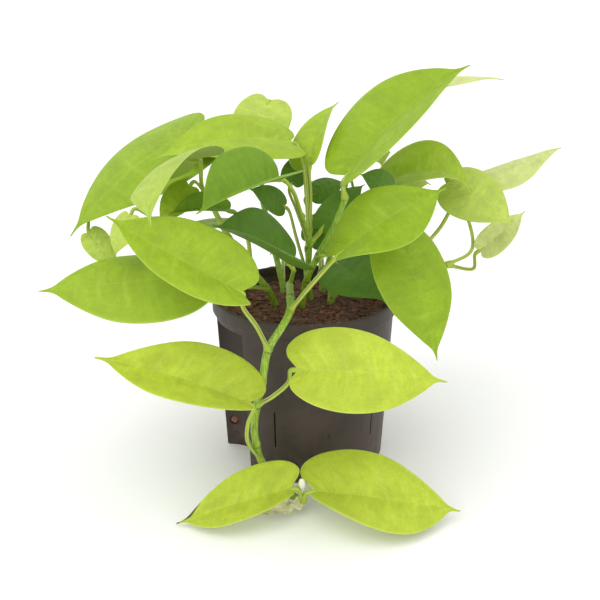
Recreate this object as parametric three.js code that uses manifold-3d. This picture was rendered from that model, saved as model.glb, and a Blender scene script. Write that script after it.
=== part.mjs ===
// Potted pothos: a trailing lime-leaved aroid in a round brown culture pot.
// Millimetres, +Z up. The front of the plant faces -Y and the origin is the centre of the pot's foot.
import * as THREE from 'three';
import { mergeVertices } from 'three/addons/utils/BufferGeometryUtils.js';
import Module from 'manifold-3d';

const wasm = await Module();
wasm.setup();

// ---------------------------------------------------------------- driving dimensions
const GAP = 0.3; // clearance kept between neighbouring pieces

const POT_HEIGHT = 120;
const RIM_R = 65; // outside of the rim band
const BAND_HEIGHT = 10; // height of the rim band
const BODY_TOP_R = 63; // outside of the wall under the band
const FOOT_R = 57; // outside of the wall at the foot
const WALL = 2.2;
const FLOOR = 3;
const CHANNEL_R = 26; // recess for a water gauge, half round, open at the foot
const CHANNEL_AT = 204; // degrees from +X, seen from above
const CHANNEL_AXIS = 62; // its axis, from the pot's axis
const CHANNEL_TOP = 106;
const SLITS = 4; // upright slits in the wall; the recess takes the fifth place
const SLIT_FIRST = 250; // degrees from +X
const SLIT_STEP = 72; // degrees from slit to slit
const SLIT_WIDTH = 1.2;
const SLIT_Z = [27, 54];
const DRAINS = 6; // radial openings in the floor
const SOIL_Z = 111.5;

const BLADE = 0.9; // thickness of a leaf blade
const CUP = 0.5; // how far the margins droop, unless a leaf says otherwise
const STILL = 0.4; // the place along a leaf that a twist leaves where it is
const STEM_SIDES = 6;
const PETIOLE = { radii: [1.5, 1.1], sides: 5, segments: 5 };
const BUD = { radii: [1.3, 0.5], sides: 5, segments: 3 };
const SEAT = 1.7 * GAP; // clearance cut round a blade in the vine that carries it
const SLIVER = 0.02; // edges and slivers of a cut solid smaller than this are merged away
const NECK = 5; // length of the bend where a petiole turns into its blade

// Half of a leaf's outline, base to tip, in leaf lengths: along the midrib, out from it.
const HALF = [
  [0, 0], [-0.035, 0.055], [-0.07, 0.13], [-0.065, 0.215], [0, 0.3], [0.11, 0.362],
  [0.26, 0.385], [0.42, 0.365], [0.57, 0.31], [0.71, 0.215], [0.83, 0.11], [0.915, 0.03], [1, 0],
];
// Where the side vein to each outline point leaves the midrib.
const RIB = [0, 0.02, 0.045, 0.08, 0.14, 0.22, 0.33, 0.46, 0.59, 0.71, 0.82, 0.91, 1];
const HALF_MAX = 0.385;
const NOTCH = 0.15; // the notch at a leaf's base is nearer to the midrib than this
const BACK_END = 0.1; // nearer to the base than this the outline looks back
const PUSH = { on: 1, back: -1.5, out: 2 }; // how far a clearance moves the outline, in clearances

// Leaves: base, tip, the way the upper face looks, then width over length and the bends: arch (mm
// toward the face), fold and twist (degrees), skew (one half slid along the other), cup (how far
// the margins droop).
const LEAF_ROWS = {
  leaf_01: [[-10, -100, 21], [-82.5, -112, 2.5], [0.2, -0.4, 1],
    { width: 0.61, arch: 2, fold: 32, twist: -25, skew: 0.37 }],
  leaf_02: [[7, -103, 21], [100, -107, 9], [-0.03, -0.48, 1],
    { width: 0.72, arch: 3, fold: 25, twist: 54, skew: -0.28 }],
  leaf_03: [[-35.7, -104.5, 84.6], [-125, -119, 121], [-0.07, -0.39, 0.86],
    { width: 0.63, arch: 4.4, fold: 28, twist: -40, skew: 0.32 }],
  leaf_04: [[-4, -95, 102.5], [87.5, -103, 98], [-0.19, -0.42, 0.43],
    { width: 0.64, arch: 5.3, fold: 15, twist: 30, skew: -0.18 }],
  leaf_05: [[-38.5, -101, 156], [-114, -110, 205], [-0.19, -0.42, 0.73],
    { width: 0.67, arch: -1.5, fold: 29, twist: -29, skew: 0.06 }],
  leaf_06: [[-64, -62, 154], [-167, -75, 147], [-0.1, -0.37, 0.92], { width: 0.7, arch: 0, twist: -22 }],
  leaf_07: [[21, -70, 170], [87, -62, 210], [0, -0.48, 0.87],
    { width: 0.72, arch: 5, fold: 14, twist: 80, skew: -0.2 }],
  leaf_08: [[61, -45, 173], [84, -80, 102], [0.3, -0.85, 0.4], { width: 0.62, arch: 6 }],
  leaf_09: [[-9, -38, 153], [-56, -82, 192], [0, -0.4, 0.92], { width: 1, arch: 2, fold: 38, skew: 0.15 }],
  leaf_10: [[-16, -50, 213], [-63, -106, 205], [0, -0.36, 0.93], { width: 0.92, arch: 3, fold: 46 }],
  leaf_11: [[-69, -46, 224], [-88, -114, 199], [-0.65, -0.45, 0.6], { width: 0.76, arch: 17 }],
  leaf_12: [[-69, 14, 236], [-154, -34, 171], [-0.5, -0.5, 0.72], { width: 0.7, arch: 9 }],
  leaf_13: [[-10, 4, 226], [-98, -26, 220], [-0.1, -0.42, 0.9], { width: 0.62, arch: 9, fold: 12 }],
  leaf_14: [[-25, 44, 248], [-42, 12, 204], [0, -0.7, 0.7], { width: 0.72, arch: 5 }],
  leaf_15: [[3, 0, 212], [24, 45, 247], [-0.7, -0.5, 0.4], { width: 0.66, arch: 5, fold: 28 }],
  leaf_16: [[27, -33, 212], [107, -5, 278], [-0.56, -0.28, 0.78],
    { width: 0.84, arch: 7, fold: 24, twist: 12, skew: 0.1 }],
  leaf_17: [[63, 30, 260], [142, 55, 261], [0, 0.05, 0.99], { width: 0.62, arch: 4 }],
  leaf_18: [[32, 36, 221], [61, 43, 212], [0, -0.85, 0.5], { width: 0.85, arch: 4 }],
  leaf_19: [[53, 6, 197], [119, 24, 187], [0, -0.35, 0.94],
    { width: 0.98, arch: 14, fold: 32, skew: 0.35 }],
  leaf_20: [[56, 34, 190], [92, 46, 187], [0, -0.5, 0.85], { width: 0.7, arch: 6 }],
  leaf_21: [[106, 37, 192], [148, 20, 163], [0, -0.65, 0.75], { width: 0.86, arch: 6 }],
  leaf_22: [[122, 61, 188], [192, 73, 209], [0, 0, 1], { width: 0.76, cup: 0.8 }],
  leaf_23: [[129, 32, 142], [162, 44, 168], [0.2, -0.88, 0.4], { width: 0.6, fold: 34 }],
  leaf_24: [[-48, -50, 193], [-84, -72, 196], [0, -0.4, 0.92], { width: 0.66, arch: 3, fold: 35 }],
  leaf_25: [[-9, 8, 197], [-2, 17, 217], [0, -0.9, 0.3], { width: 0.8, arch: 2 }],
  leaf_26: [[22, 8, 140], [54, -38, 126], [-0.1, -0.6, 0.8], { width: 0.76, arch: 3, fold: 8 }],
  leaf_27: [[-143, -26, 171], [-125, -30, 147], [0.2, -0.9, 0.3], { width: 0.62, arch: 1 }],
  leaf_28: [[-111, -53, 190], [-120, -60, 165], [-0.5, -0.7, 0.4], { width: 0.8, arch: 3 }],
  leaf_29: [[-73, -49, 208], [-91, -63, 186], [0, -0.7, 0.6], { width: 0.66, arch: 4 }],
  leaf_30: [[-14, 0, 183], [-38, -8, 197], [0, -0.7, 0.7], { width: 0.7, arch: 3 }],
  leaf_31: [[5, 21, 186], [29, 32, 192], [0, -0.6, 0.8], { width: 0.8, arch: 3 }],
  leaf_32: [[12, -6, 169], [42, 13, 195], [-0.2, -0.6, 0.8], { width: 0.6, arch: 5 }],
  leaf_33: [[4, 6, 156], [26, 16, 180], [-0.2, -0.8, 0.5], { width: 0.7, arch: 3 }],
  leaf_34: [[-40, 72, 214], [-112, 92, 182], [-0.3, 0.2, 0.93], { width: 0.66, arch: 10 }],
  leaf_35: [[36, 70, 204], [64, 124, 182], [0.1, 0.4, 0.9], { width: 0.62, arch: 10 }],
  leaf_36: [[48, 66, 152], [92, 108, 128], [0.4, 0.5, 0.75], { width: 0.68, arch: 8 }],
  leaf_37: [[-46, 62, 156], [-104, 88, 132], [-0.4, 0.5, 0.75], { width: 0.68, arch: 8 }],
  leaf_38: [[-16, 80, 108], [-44, 100, 38], [-0.1, 0.95, 0.3], { width: 0.6, arch: 6 }],
  leaf_39: [[18, 86, 98], [42, 104, 26], [0.2, 0.95, 0.25], { width: 0.64, arch: 6 }],
  leaf_40: [[56, -29, 203], [35, -32, 212], [0, -0.8, 0.5], { width: 0.8, arch: 2 }],
};
const LEAVES = Object.fromEntries(Object.entries(LEAF_ROWS).map(
  ([name, [base, tip, face, bends]]) => [name, { base, tip, face, ...bends }],
));

// A dry sheath left under the last leaves of the front vine, made like a small narrow leaf.
const SHEATH = {
  base: [-3.2, -98, 9.4], tip: [-31, -104, 5], face: [-0.1, -0.85, 0.5], width: 0.28, arch: 2, fold: 14,
};

// Vines: the stem's points and radii at both ends, and for each leaf the stem point its petiole
// leaves from and the points it passes. The bud is a shoot tip beyond the stem's end.
const VINES = {
  vine_front: {
    stem: [[-10, 8, 96], [-10, 6, 112], [-10.5, -8, 128], [-9.7, -40, 131], [-9.7, -58, 127.7],
      [-14, -70, 122.6], [-23.4, -80, 109.6], [-27.4, -82, 87], [-30.7, -82, 72], [-33, -80, 55],
      [-32, -78, 42], [-29, -72, 26], [-20, -74, 13], [-8, -88, 9], [-1, -96, 10]],
    radii: [2.7, 2.2],
    bud: [[-1, -96, 10], [-1.2, -96.5, 20], [-1, -97.5, 29]],
    petioles: {
      leaf_09: { from: 2, via: [[-8, -22, 142]] },
      leaf_07: { from: 4, via: [[4, -66, 148]] },
      leaf_05: { from: 6, via: [[-30, -90, 129], [-38, -98, 146]], neck: 2 },
      leaf_04: { from: 8, via: [[-20, -90, 82], [-10, -92, 93]] },
      leaf_03: { from: 11, via: [[-37, -84, 46], [-36, -96, 66]] },
      leaf_02: { from: 14, via: [] },
      leaf_01: { from: 14, via: [] },
    },
  },
  vine_tall: {
    stem: [[-2, -4, 96], [-2, -6, 112], [1, -12, 132], [9, -24, 155], [19, -29, 176], [26, -33, 196]],
    radii: [2.6, 1.9],
    petioles: {
      leaf_16: { from: 5, via: [] },
      leaf_08: { from: 3, via: [[32, -34, 164]] },
    },
  },
  vine_centre: {
    stem: [[4, 8, 96], [4, 7, 112], [2, 0, 132], [3, -8, 158], [-2, -18, 180]],
    radii: [2.5, 1.8],
    petioles: {
      leaf_10: { from: 4, via: [[-9, -44, 206]] },
      leaf_13: { from: 3, via: [[1, -4, 192], [-1, -3, 214]] },
      leaf_15: { from: 3, via: [[4, 0, 190]] },
      leaf_25: { from: 3, via: [[-6, 4, 180]] },
      leaf_30: { from: 2, via: [[-6, 2, 160]] },
      leaf_31: { from: 3, via: [[5, 8, 172]] },
      leaf_32: { from: 3, via: [] },
      leaf_33: { from: 2, via: [[2, 3, 146]] },
    },
  },
  vine_left: {
    stem: [[-20, -2, 96], [-21, -4, 112], [-26, -14, 128], [-36, -26, 146], [-50, -28, 168],
      [-62, -22, 190]],
    radii: [2.6, 1.8],
    petioles: {
      leaf_06: { from: 2, via: [[-46, -48, 142]] },
      leaf_11: { from: 5, via: [[-66, -38, 206]] },
      leaf_12: { from: 5, via: [[-58, 2, 216]] },
      leaf_24: { from: 3, via: [[-38, -36, 172]] },
      leaf_27: { from: 5, via: [[-92, -6, 196], [-124, -15, 189], [-142, -20, 182]], neck: 1 },
      leaf_28: { from: 4, via: [[-88, -44, 180]] },
      leaf_29: { from: 4, via: [[-60, -32, 190]] },
    },
  },
  vine_right: {
    stem: [[18, 4, 96], [19, 5, 112], [30, 15, 124], [52, 22, 136], [74, 26, 134], [104, 30, 131]],
    radii: [2.5, 1.6],
    petioles: {
      leaf_23: { from: 5, via: [[124, 31, 128]] },
      leaf_21: { from: 5, via: [[122, 33, 141], [118, 36, 166]] },
      leaf_22: { from: 4, via: [[100, 42, 156]] },
      leaf_19: { from: 3, via: [[56, 14, 176]] },
      leaf_20: { from: 3, via: [[55, 28, 168]] },
      leaf_26: { from: 1, via: [[18, 12, 124]] },
      leaf_18: { from: 2, via: [[36, 26, 180]] },
      leaf_40: { from: 3, via: [[54, -2, 160], [59, -20, 188]] },
    },
  },
  vine_back_left: {
    stem: [[-14, 24, 96], [-15, 26, 112], [-22, 38, 140], [-30, 50, 172], [-32, 56, 200]],
    radii: [2.5, 1.8],
    petioles: {
      leaf_34: { from: 4, via: [] },
      leaf_14: { from: 4, via: [[-28, 54, 230]], neck: 0 },
      leaf_37: { from: 2, via: [[-34, 50, 150]] },
      leaf_38: { from: 1, via: [[-16, 58, 124], [-16, 74, 122]] },
    },
  },
  vine_back_right: {
    stem: [[12, 24, 96], [13, 26, 112], [20, 40, 140], [28, 52, 176], [36, 58, 206]],
    radii: [2.5, 1.8],
    petioles: {
      leaf_35: { from: 4, via: [] },
      leaf_17: { from: 4, via: [[50, 44, 240]] },
      leaf_36: { from: 2, via: [[36, 56, 148]] },
      leaf_39: { from: 1, via: [[12, 58, 126], [14, 76, 122]] },
    },
  },
};

// ---------------------------------------------------------------- helpers
// Repeatable numbers from 0 to 1.
function seeded(seed) {
  let state = seed;
  return () => {
    state = (state * 1664525 + 1013904223) % 4294967296;
    return state / 4294967296;
  };
}

const vec = (p) => new THREE.Vector3(...p);
const rad = THREE.MathUtils.degToRad;

function geometryOf(points, triangles) {
  const geometry = new THREE.BufferGeometry();
  geometry.setAttribute('position', new THREE.Float32BufferAttribute(points.flat(), 3));
  geometry.setIndex(triangles.flat());
  return geometry;
}

function solidOf(geometry) {
  const g = geometry.clone();
  g.deleteAttribute('normal');
  g.deleteAttribute('uv');
  const m = mergeVertices(g, 1e-4);
  const index = Array.from(m.index.array);
  const kept = [];
  for (let i = 0; i < index.length; i += 3) {
    const [a, b, c] = index.slice(i, i + 3);
    if (a !== b && b !== c && c !== a) kept.push(a, b, c);
  }
  return new wasm.Manifold(new wasm.Mesh({
    numProp: 3,
    vertProperties: new Float32Array(m.attributes.position.array),
    triVerts: new Uint32Array(kept),
  }));
}

function geometryFrom(solid) {
  const mesh = solid.asOriginal().simplify(SLIVER).getMesh();
  const geometry = new THREE.BufferGeometry();
  geometry.setAttribute('position', new THREE.BufferAttribute(new Float32Array(mesh.vertProperties), 3));
  geometry.setIndex(new THREE.BufferAttribute(new Uint32Array(mesh.triVerts), 1));
  return geometry;
}

function material(color, roughness, metalness = 0) {
  return new THREE.MeshStandardMaterial({ color, roughness, metalness });
}

const model = new THREE.Group();

function addNode(name, geometry, color, roughness) {
  const flat = geometry.index ? geometry.toNonIndexed() : geometry;
  flat.computeVertexNormals();
  const mesh = new THREE.Mesh(flat, material(color, roughness));
  mesh.name = name;
  model.add(mesh);
  return mesh;
}

// A tapering tube along a smooth curve through the points, closed by blunt points at both ends.
function tube(points, radii, sides, segments, grow = 0) {
  const curve = new THREE.CatmullRomCurve3(points.map(vec), false, 'centripetal');
  const frames = curve.computeFrenetFrames(segments, false);
  const out = [];
  const triangles = [];
  const ring = (centre, i, r) => {
    const start = out.length;
    for (let k = 0; k < sides; k++) {
      const a = (2 * Math.PI * k) / sides;
      const p = centre.clone()
        .addScaledVector(frames.normals[i], r * Math.cos(a))
        .addScaledVector(frames.binormals[i], r * Math.sin(a));
      out.push(p.toArray());
    }
    return start;
  };
  const rings = [];
  for (let i = 0; i <= segments; i++) {
    const f = i / segments;
    rings.push(ring(curve.getPointAt(f), i, radii[0] + (radii[1] - radii[0]) * f + grow));
  }
  const tipPoint = (i, sign, r) => {
    out.push(curve.getPointAt(i / segments).addScaledVector(frames.tangents[i], sign * r * 0.4).toArray());
    return out.length - 1;
  };
  const first = tipPoint(0, -1, radii[0] + grow);
  const last = tipPoint(segments, 1, radii[1] + grow);
  for (let i = 0; i < segments; i++) {
    for (let k = 0; k < sides; k++) {
      const n = (k + 1) % sides;
      const [a, b, c, d] = [rings[i] + k, rings[i] + n, rings[i + 1] + k, rings[i + 1] + n];
      triangles.push([a, b, d], [a, d, c]);
    }
  }
  for (let k = 0; k < sides; k++) {
    const n = (k + 1) % sides;
    triangles.push([first, rings[0] + n, rings[0] + k], [last, rings[segments] + k, rings[segments] + n]);
  }
  return geometryOf(out, triangles);
}

// ---------------------------------------------------------------- leaves
// The leaf's own axes: along (base to tip), out (sideways) and up (toward the upper face).
function leafFrame(leaf) {
  const base = vec(leaf.base);
  const along = vec(leaf.tip).sub(base);
  const length = along.length();
  along.normalize();
  const up = vec(leaf.face);
  up.addScaledVector(along, -up.dot(along)).normalize();
  return { base, along, up, out: new THREE.Vector3().crossVectors(up, along), length };
}

// A point of the leaf's mid surface: u along the midrib, w out from it, both in leaf lengths.
function leafPoint(leaf, frame, u, w) {
  const { base, along, up, out, length } = frame;
  const { arch = 0, fold = 0, twist = 0, skew = 0, cup = CUP } = leaf;
  const bow = 4 * u * (1 - u);
  const side = w * length * (leaf.width / (2 * HALF_MAX));
  const turn = rad(twist) * (u - STILL);
  const lean = Math.sign(w) * rad(fold);
  let x = side * Math.cos(lean);
  let z = side * Math.sin(lean) - (cup * side * side) / length;
  [x, z] = [x * Math.cos(turn) - z * Math.sin(turn), x * Math.sin(turn) + z * Math.cos(turn)];
  return base.clone()
    .addScaledVector(along, u * length + skew * side)
    .addScaledVector(out, x)
    .addScaledVector(up, z + arch * bow);
}

function leafNormal(leaf, frame, u, w) {
  const d = 0.01;
  const e = w < 0 ? -d : d;
  const du = leafPoint(leaf, frame, u + d, w).sub(leafPoint(leaf, frame, u - d, w));
  const dw = leafPoint(leaf, frame, u, w + e).sub(leafPoint(leaf, frame, u, w));
  if (w === 0) {
    const other = leafPoint(leaf, frame, u, -d).sub(leafPoint(leaf, frame, u, 0));
    dw.sub(other);
  }
  if (w < 0) dw.negate();
  return new THREE.Vector3().crossVectors(du, dw).negate().normalize();
}

// A closed blade: an upper and a lower face of the same triangles, joined round the margin.
function blade(leaf, grow = 0) {
  const frame = leafFrame(leaf);
  const last = HALF.length - 1;
  const grid = []; // [u, w] of every vertex of one face
  const at = new Map();
  const index = (k, j) => {
    if (k === 0 || k === last) return at.get(`${k}`);
    return at.get(`${k},${j}`);
  };
  for (let k = 0; k <= last; k++) {
    const end = k === 0 || k === last;
    for (const j of end ? [0] : [-2, -1, 0, 1, 2]) {
      const f = Math.abs(j) / 2;
      at.set(end ? `${k}` : `${k},${j}`, grid.length);
      grid.push([RIB[k] + (HALF[k][0] - RIB[k]) * f ** 1.2, Math.sign(j) * HALF[k][1] * f]);
    }
  }
  const face = [];
  for (let k = 0; k < last; k++) {
    for (let j = -2; j < 2; j++) {
      const [a, b, c, d] = [index(k, j), index(k, j + 1), index(k + 1, j), index(k + 1, j + 1)];
      const quad = j < 0 ? [[a, b, d], [a, d, c]] : [[a, b, c], [b, d, c]];
      for (const t of quad) if (new Set(t).size === 3) face.push(t);
    }
  }
  const rim = [0];
  for (let k = 1; k < last; k++) rim.push(index(k, 2));
  rim.push(index(last, 0));
  for (let k = last - 1; k > 0; k--) rim.push(index(k, -2));

  const half = BLADE / 2 + grow;
  const more = grow / frame.length;
  const points = [];
  for (const side of [1, -1]) {
    grid.forEach(([u, w], i) => {
      const edge = rim.includes(i) ? more : 0;
      const notch = u < 0 && Math.abs(w) < NOTCH;
      const wide = w + (notch ? 0 : PUSH.out) * edge * Math.sign(w);
      const p = leafPoint(leaf, frame, u + edge * (u < BACK_END ? PUSH.back : PUSH.on), wide);
      p.addScaledVector(leafNormal(leaf, frame, u, w), side * half);
      points.push(p.toArray());
    });
  }
  const n = grid.length;
  const triangles = [];
  for (const [a, b, c] of face) triangles.push([a, b, c], [a + n, c + n, b + n]);
  for (let i = 0; i < rim.length; i++) {
    const [a, b] = [rim[i], rim[(i + 1) % rim.length]];
    triangles.push([b, a, a + n], [b, a + n, b + n]);
  }
  return geometryOf(points, triangles);
}

// ---------------------------------------------------------------- pot and substrate
function lathe(profile, segments) {
  const points = profile.map(([r, z]) => new THREE.Vector2(r, z));
  return solidOf(new THREE.LatheGeometry(points, segments).rotateX(Math.PI / 2));
}

function cylinder(radius, bottom, top, x, y, segments = 32) {
  const geometry = new THREE.CylinderGeometry(radius, radius, top - bottom, segments);
  return solidOf(geometry.rotateX(Math.PI / 2).translate(x, y, (bottom + top) / 2));
}

// A box whose long way is radial, at an angle round the pot.
function radialBox(inner, outer, width, bottom, top, degrees) {
  const geometry = new THREE.BoxGeometry(outer - inner, width, top - bottom);
  geometry.translate((inner + outer) / 2, 0, (bottom + top) / 2).rotateZ(rad(degrees));
  return solidOf(geometry);
}

const channelX = CHANNEL_AXIS * Math.cos(rad(CHANNEL_AT));
const channelY = CHANNEL_AXIS * Math.sin(rad(CHANNEL_AT));
const bandZ = POT_HEIGHT - BAND_HEIGHT;

// The opening in the channel's wall, and the chip of substrate that shows in it.
const CHIP_R = 3.3;
const CHIP_Z = 20;
const chipFacing = rad(79);
const chipX = channelX + (CHANNEL_R + WALL / 2) * Math.cos(chipFacing);
const chipY = channelY + (CHANNEL_R + WALL / 2) * Math.sin(chipFacing);

function chip() {
  const geometry = new THREE.IcosahedronGeometry(CHIP_R, 1).scale(0.4, 1, 0.94);
  return solidOf(geometry.rotateZ(chipFacing).translate(chipX, chipY, CHIP_Z));
}

function chipHole() {
  const geometry = new THREE.CylinderGeometry(CHIP_R + GAP, CHIP_R + GAP, 3 * WALL, 12);
  return solidOf(geometry.rotateZ(Math.PI / 2).rotateZ(chipFacing).translate(chipX, chipY, CHIP_Z));
}

function pot() {
  const outer = lathe([
    [0, 0], [FOOT_R - 1.5, 0], [FOOT_R, 1.5], [BODY_TOP_R, bandZ], [RIM_R, bandZ + 0.8],
    [RIM_R, POT_HEIGHT - 1], [RIM_R - 1, POT_HEIGHT], [0, POT_HEIGHT],
  ], 48);
  const inside = lathe([
    [0, FLOOR], [FOOT_R - WALL - 1, FLOOR], [FOOT_R - WALL, FLOOR + 1], [BODY_TOP_R - WALL, bandZ],
    [RIM_R - WALL, bandZ + 3], [RIM_R - WALL, POT_HEIGHT + 1], [0, POT_HEIGHT + 1],
  ], 48);
  const channel = cylinder(CHANNEL_R, -1, CHANNEL_TOP, channelX, channelY);
  const channelWall = cylinder(CHANNEL_R + WALL, -2, CHANNEL_TOP + WALL, channelX, channelY);
  let solid = outer.subtract(channel).subtract(inside.subtract(channelWall));
  for (let i = 0; i < SLITS; i++) {
    const at = SLIT_FIRST + SLIT_STEP * i;
    solid = solid.subtract(radialBox(FOOT_R - 8, FOOT_R + 8, SLIT_WIDTH, ...SLIT_Z, at));
  }
  solid = solid.subtract(chipHole());
  for (let i = 0; i < DRAINS; i++) {
    solid = solid.subtract(radialBox(20, 42, 3, -1, FLOOR + 1, (360 / DRAINS) * i));
  }
  return solid;
}

// The filled pot: loose substrate with an uneven top, a hair clear of the pot and the stems.
function substrate(stems) {
  const random = seeded(7);
  const rings = [[0, 0], [12, 1], [24, 1], [36, 1], [48, 1], [57, 0.6], [BODY_TOP_R - WALL - 1.2, 0.3]];
  const around = 24;
  const points = [[0, 0, SOIL_Z + 1]];
  for (const [r, rough] of rings.slice(1)) {
    for (let k = 0; k < around; k++) {
      const a = (2 * Math.PI * k) / around;
      const z = SOIL_Z - 2.5 * (r / 60) ** 4 + rough * 3 * (random() - 0.5);
      points.push([r * Math.cos(a), r * Math.sin(a), z]);
    }
  }
  const ringAt = (i, k) => 1 + (i - 1) * around + (k % around);
  const last = rings.length - 1;
  const footR = FOOT_R - WALL - 1.6;
  const footAt = points.length;
  for (let k = 0; k < around; k++) {
    const a = (2 * Math.PI * k) / around;
    points.push([footR * Math.cos(a), footR * Math.sin(a), FLOOR + GAP]);
  }
  points.push([0, 0, FLOOR + GAP]);
  const triangles = [];
  for (let k = 0; k < around; k++) {
    triangles.push([0, ringAt(1, k), ringAt(1, k + 1)]);
    for (let i = 1; i < last; i++) {
      const [a, b, c, d] = [ringAt(i, k), ringAt(i, k + 1), ringAt(i + 1, k), ringAt(i + 1, k + 1)];
      triangles.push([a, c, d], [a, d, b]);
    }
    const [a, b] = [ringAt(last, k), ringAt(last, k + 1)];
    const [c, d] = [footAt + k, footAt + ((k + 1) % around)];
    triangles.push([a, c, d], [a, d, b], [c, points.length - 1, d]);
  }
  let solid = solidOf(geometryOf(points, triangles));
  const clear = WALL + GAP;
  solid = solid.subtract(cylinder(CHANNEL_R + clear, -2, CHANNEL_TOP + clear, channelX, channelY));
  for (const stem of stems) solid = solid.subtract(stem);
  return solid;
}

// ---------------------------------------------------------------- build
const holes = [];
for (const [name, leaf] of Object.entries(LEAVES)) addNode(name, blade(leaf), 0xb4d041, 0.45);

for (const [name, vine] of Object.entries(VINES)) {
  const segments = Math.round(1.4 * vine.stem.length);
  let solid = solidOf(tube(vine.stem, vine.radii, STEM_SIDES, segments));
  const [x, y, z] = vine.stem[0];
  const rooted = [[x, y, z - 0.5], ...vine.stem.slice(1)];
  holes.push(solidOf(tube(rooted, vine.radii, STEM_SIDES, segments, GAP)));
  for (const [leafName, petiole] of Object.entries(vine.petioles)) {
    const leaf = LEAVES[leafName];
    const { base, along, up } = leafFrame(leaf);
    const { neck = NECK } = petiole;
    const under = base.clone().addScaledVector(along, -neck).addScaledVector(up, -0.5 * neck);
    const end = base.clone().addScaledVector(up, -BLADE / 2 - SEAT);
    const last = neck ? [under.toArray(), end.toArray()] : [end.toArray()];
    const points = [vine.stem[petiole.from], ...petiole.via, ...last];
    solid = solid.add(solidOf(tube(points, PETIOLE.radii, PETIOLE.sides, PETIOLE.segments)));
  }
  if (vine.bud) {
    solid = solid.add(solidOf(tube(vine.bud, BUD.radii, BUD.sides, BUD.segments)));
    solid = solid.subtract(solidOf(blade(SHEATH, SEAT)));
  }
  for (const leafName of Object.keys(vine.petioles)) {
    solid = solid.subtract(solidOf(blade(LEAVES[leafName], SEAT)));
  }
  addNode(name, geometryFrom(solid), 0x6f8f2c, 0.5);
}

addNode('tip_sheath', blade(SHEATH), 0xc9c2a0, 0.8);
addNode('pot', geometryFrom(pot()), 0x3a3432, 0.55);
addNode('chip', geometryFrom(chip()), 0x8a5a48, 0.9);
addNode('substrate', geometryFrom(substrate(holes)), 0x54352a, 0.95);

export default model;
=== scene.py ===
"""Potted pothos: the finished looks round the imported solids. Metres, +Z up, front toward -Y."""

import random
from math import copysign, cos, exp, hypot, pi, radians, sin, sqrt

import bmesh
import bpy
import numpy as np
from mathutils import Matrix, Vector, noise


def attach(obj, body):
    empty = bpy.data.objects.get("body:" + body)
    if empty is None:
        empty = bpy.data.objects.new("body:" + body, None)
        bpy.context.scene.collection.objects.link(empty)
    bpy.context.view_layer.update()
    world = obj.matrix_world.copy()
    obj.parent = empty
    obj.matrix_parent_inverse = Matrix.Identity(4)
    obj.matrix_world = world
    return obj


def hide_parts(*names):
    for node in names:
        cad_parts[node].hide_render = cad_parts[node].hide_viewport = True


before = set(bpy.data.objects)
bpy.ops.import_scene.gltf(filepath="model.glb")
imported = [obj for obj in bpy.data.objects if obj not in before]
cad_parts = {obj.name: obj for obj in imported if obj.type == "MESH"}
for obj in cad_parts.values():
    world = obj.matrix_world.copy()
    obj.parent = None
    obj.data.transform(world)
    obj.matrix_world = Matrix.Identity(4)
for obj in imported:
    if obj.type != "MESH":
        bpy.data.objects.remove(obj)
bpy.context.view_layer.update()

MM = 0.001
TURN = 2 * pi
SPIN = (0, 6.28)  # range of the random angles of waves and crumbs
AROUND = (0, 6.283)  # and of those at which crumbs and fibres are scattered

# ---------------- dimensions, in millimetres
# the pot
GAP = 0.3  # clearance between neighbouring pieces
POT_HEIGHT = 120
RIM_R = 65  # outside of the rim band
BAND_HEIGHT = 10
BODY_TOP_R = 63  # outside of the wall below the band
FOOT_R = 57
WALL = 2.2
WALL_AT = ((59, 37), (61, 74))  # radius and height of two places on the wall
WALL_RISE = 18.3  # height in which the wall widens by 1
FLOOR = 3
FOOT_ROUND, INNER_ROUND, BAND_ROUND, RIM_ROUND = 1.4, 1.1, 0.6, 0.8  # rounded edges
ARC_STEPS = 5
POT_SEGMENTS, DRUM_SEGMENTS, WINDOW_SEGMENTS, BALL_ROWS = 192, 96, 32, 12
SHARP = radians(32)  # edges of the pot steeper than this stay sharp
CHANNEL_R = 26  # a round recess in the side, open at the foot
CHANNEL_AT = 204  # its direction in degrees, and how far out its axis stands
CHANNEL_AXIS = 62
CHANNEL_TOP = 106
SLITS = 4
SLIT_FIRST = 250  # degrees
SLIT_STEP = 72
SLIT_WIDTH = 1.1
SLIT_Z = (27, 54)
SLIT_REACH = 8  # of the cutter, to both sides of the foot's radius
DIMPLES = ((36, 1.7), (46, 1.02))  # height and radius of the two between slits
DIMPLE_OUT = 0.5  # how far outside the wall their centres are
DRAINS = 6
DRAIN = (20, 42, 3)  # inner and outer end and width of one opening
CHIP_R = 3.3  # the pebble in the recess's wall
CHIP_Z = 20
CHIP_FACING = radians(79)
CHIP_FLAT, CHIP_TALL = 0.4, 0.94  # its depth and height over its width

# the substrate
SOIL_Z = 111.5
SOIL_FALL = (2.5, 60)  # how much lower the soil is at that radius
SOIL_ROUGH = ((1.3, 14), (0.9, 5), (0.45, 1.9))  # height and width of its unevenness
SOIL_RINGS = 64
SOIL_AROUND = 176
CRUMBS = 2100
CRUMB_SIZES = (0.7, 0.9, 1.1, 1.4, 1.8, 2.3, 3.0)
CRUMB_SPANS = ((0.8, 1.6), (0.35, 0.7), (0.14, 0.32))  # length, width and depth over size
CRUMB_SHADES = (0.0, 0.1, 0.25, 0.5, 0.75, 1.0)
LARGE_CRUMB = 2.4  # from this size a crumb has more points
CRUMB_ROOM = 1.6  # a crumb's reach over its size
FIBRES = 150
FIBRE_ROOM = 8  # their distance from the wall, at least
FIBRE_R = 0.16

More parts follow.
